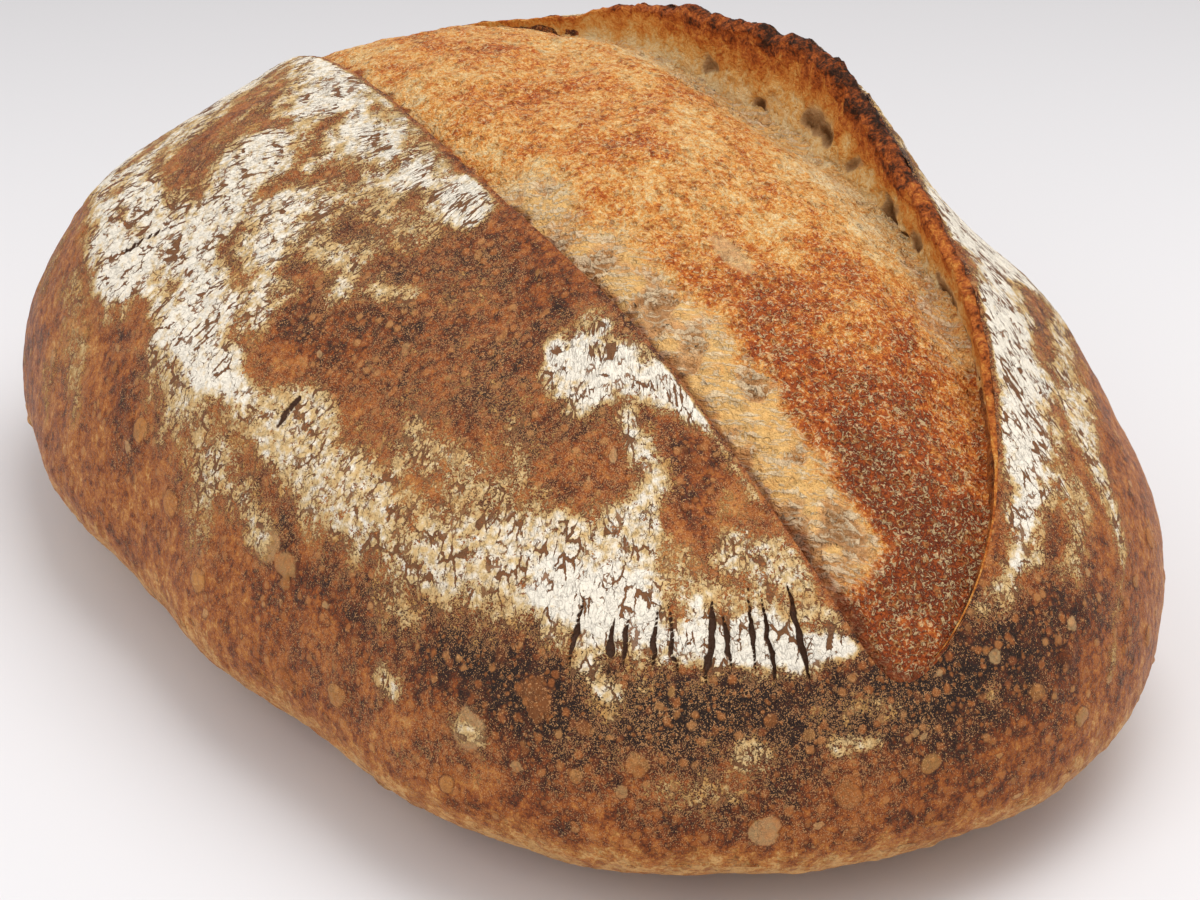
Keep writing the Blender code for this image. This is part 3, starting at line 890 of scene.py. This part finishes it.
def earMaterial():
    # torn crumb that dried to orange and charred along its thin upper edge
    material, tree, shader = startMaterial("charredTornEar", Specular_IOR_Level=0.2, IOR=1.45)
    node = partial(add, tree)
    place = node("TexCoord").out("Object")
    climb, high, hollow = [
        node("Attribute", {"attribute_name": name}).out("Fac") for name in ("climb", "high", "hollow")]
    mottle = node("TexNoise", Vector=place, Scale=1 / (2.2 * mm), Detail=4.0, Roughness=0.62, Distortion=0.5)
    wide = node("TexNoise", Vector=place, Scale=1 / (7 * mm), Detail=3.0)
    speck = node("TexNoise", Vector=place, Scale=1 / (0.55 * mm), Detail=3.0, Roughness=0.65)
    up = climb * (high * 0.32 + 0.58) + (wide - 0.5) * 0.45 + (mottle - 0.5) * 0.85 + (speck - 0.5) * 0.60
    colour = node("ValToRGB", {"stops": [
        (0.10, "#f0d6a2"), (0.32, "#e6b064"), (0.50, "#d98b3c"), (0.66, "#b86026"),
        (0.78, "#8a4219"), (0.90, "#4b2916"), (1.0, "#2c1a10")]}, Fac=up)
    # the hollows are painted darker the deeper they go: painted shade in the recesses of the torn ear
    hollow = hollow + (mottle - 0.5) * 0.5
    deep = node("ValToRGB", {"stops": [(0.3, "#cfa878"), (0.8, "#9a7248"), (1.0, "#62401f")]}, Fac=hollow)
    inside = node("MapRange", softStep, i0=hollow, i1=0.25, i2=0.6)
    colour = node("Mix", colourMix, i0=inside, i6=colour, i7=deep)
    bump = node("Bump", Strength=1.0, Distance=1.0 * mm, Height=mottle * 1.5 + speck * 0.8)
    rough = node("MapRange", softStep, i0=mottle, i1=0.3, i2=0.7, i3=0.6, i4=0.85)
    join(tree, shader, dict(Base_Color=colour, Roughness=rough, Normal=bump))
    return material


def baseMaterial():
    # the sole that lay on the hot stone: even brown, dry and dusty
    material, tree, shader = startMaterial("stoneBakedSole", Specular_IOR_Level=0.35, IOR=1.45)
    node = partial(add, tree)
    place = node("TexCoord").out("Object")
    wide = node("TexNoise", Vector=place, Scale=1 / (20 * mm), Detail=4.0)
    mottle = node("TexNoise", Vector=place, Scale=1 / (2.4 * mm), Detail=4.0, Roughness=0.6)
    drift = node("TexNoise", Vector=place, Scale=1 / (12 * mm), Detail=4.0, Roughness=0.65)
    grain = node("TexNoise", Vector=place, Scale=1 / (0.6 * mm), Detail=3.0)
    dust = node("MapRange", softStep, i0=drift * 0.7 + grain * 0.4, i1=0.60, i2=0.74)
    colour = node("ValToRGB", {"stops": [
        (0.35, "#b78248"), (0.55, "#95592c"), (0.75, "#6b3b1d"), (0.95, "#45260f")]},
        Fac=wide * 0.7 + mottle * 0.5)
    colour = node("Mix", colourMix, i0=dust * 0.7, i6=colour, i7="#dccba8")
    bump = node("Bump", Strength=1.0, Distance=1.0 * mm, Height=mottle * 0.6 + dust * 0.1)
    rough = node("MapRange", softStep, i0=mottle, i1=0.3, i2=0.7, i3=0.6, i4=0.8)
    join(tree, shader, dict(Base_Color=colour, Roughness=rough, Normal=bump))
    return material


# the object
crustLook = crustMaterial()
nearCrust = makeCrust("crustLipSide", -math.pi, 0.0, crust["across"])
farCrust = makeCrust("crustEarSide", 0.0, math.pi, crust["across"] - 40)
crumbPiece = makeCrumb()
earPiece = makeEar()
sole = makeBase()

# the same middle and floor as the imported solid
coarseTurn, coarseRow = np.meshgrid(np.linspace(-math.pi, math.pi, 105)[:-1], crustRows(15, 6), indexing="ij")
coarse = crustSheet(coarseTurn, coarseRow)[0].reshape(-1, 3)
shift = -(coarse.min(axis=0) + coarse.max(axis=0)) / 2
shift[2] = 0.0
pieces = [nearCrust, farCrust, crumbPiece, earPiece, sole]
for piece in pieces:
    writePlaces(piece, readPlaces(piece) + shift)
for piece, look in zip(pieces, [crustLook, crustLook, crumbMaterial(), earMaterial(), baseMaterial()]):
    finishPiece(piece, look)

# stage, light and camera
stage = dict(size=6.0, nearColour="#e6e5e7", farPaintedShadeColour="#999799", skyStrength=0.77, keyPower=11,
             keySize=1.1, fillPower=6)


def makeStage():
    bpy.ops.object.select_all(action="DESELECT")
    bpy.ops.mesh.primitive_plane_add(size=stage["size"])
    floor = bpy.context.object
    floor.name = "floor"
    material, tree, shader = startMaterial("matteSweepWithPaintedFalloff", Roughness=0.9, Specular_IOR_Level=0.2)
    node = partial(add, tree)
    place = node("TexCoord").out("Object")
    # the floor is painted darker towards the far side: painted shade for the light falling off with distance
    along = node("VectorMath", {"operation": "DOT_PRODUCT"}, i0=place, i1=(-0.86, 0.5, 0.0))
    along = node("MapRange", softStep, i0=along, i1=0.0, i2=0.62)
    colour = node("Mix", colourMix, i0=along, i6=stage["nearColour"], i7=stage["farPaintedShadeColour"])
    join(tree, shader, dict(Base_Color=colour))
    floor.data.materials.append(material)

    world = bpy.data.worlds.new("studio")
    bpy.context.scene.world = world
    world.use_nodes = True
    backdrop = world.node_tree.nodes["Background"]
    backdrop.inputs["Color"].default_value = linear("#f7f6f6")
    backdrop.inputs["Strength"].default_value = stage["skyStrength"]


def addLight(name, place, target, power, size, colour):
    data = bpy.data.lights.new(name, "AREA")
    data.energy = power
    data.size = size
    data.color = colour
    light = bpy.data.objects.new(name, data)
    bpy.context.scene.collection.objects.link(light)
    light.location = place
    light.rotation_euler = (Vector(target) - Vector(place)).to_track_quat("-Z", "Y").to_euler()


view = dict(azimuth=59.84, elevation=29.54, distance=0.89585, lens=136.097, aimRight=0.003,
            aimUp=-0.013155, aimHeight=0.045)


def makeCamera():
    a, e = math.radians(view["azimuth"]), math.radians(view["elevation"])
    back = Vector((math.sin(a) * math.cos(e), -math.cos(a) * math.cos(e), math.sin(e)))
    right = Vector((math.cos(a), math.sin(a), 0))
    up = back.cross(right)
    target = Vector((shift[0], shift[1], view["aimHeight"])) + right * view["aimRight"] + up * view["aimUp"]
    data = bpy.data.cameras.new("camera")
    data.lens = view["lens"]
    data.sensor_width = 36
    data.clip_start = 0.05
    camera = bpy.data.objects.new("camera", data)
    bpy.context.scene.collection.objects.link(camera)
    turned = Matrix((right, up, back)).transposed().to_4x4()
    camera.matrix_world = Matrix.Translation(target + back * view["distance"]) @ turned
    bpy.context.scene.camera = camera
    return right, up, back


makeStage()
right, up, back = makeCamera()
addLight("key", Vector((0.1, 0.35, 1.35)), (0, 0, 0.03), stage["keyPower"], stage["keySize"],
         (1.0, 0.985, 0.965))
fillPlace = back * 1.4 - right * 0.9 + Vector((0, 0, 0.5))
addLight("fill", fillPlace, (0, 0, 0.05), stage["fillPower"], 1.2, (0.97, 0.98, 1.0))
bpy.context.scene.view_settings.view_transform = "Standard"
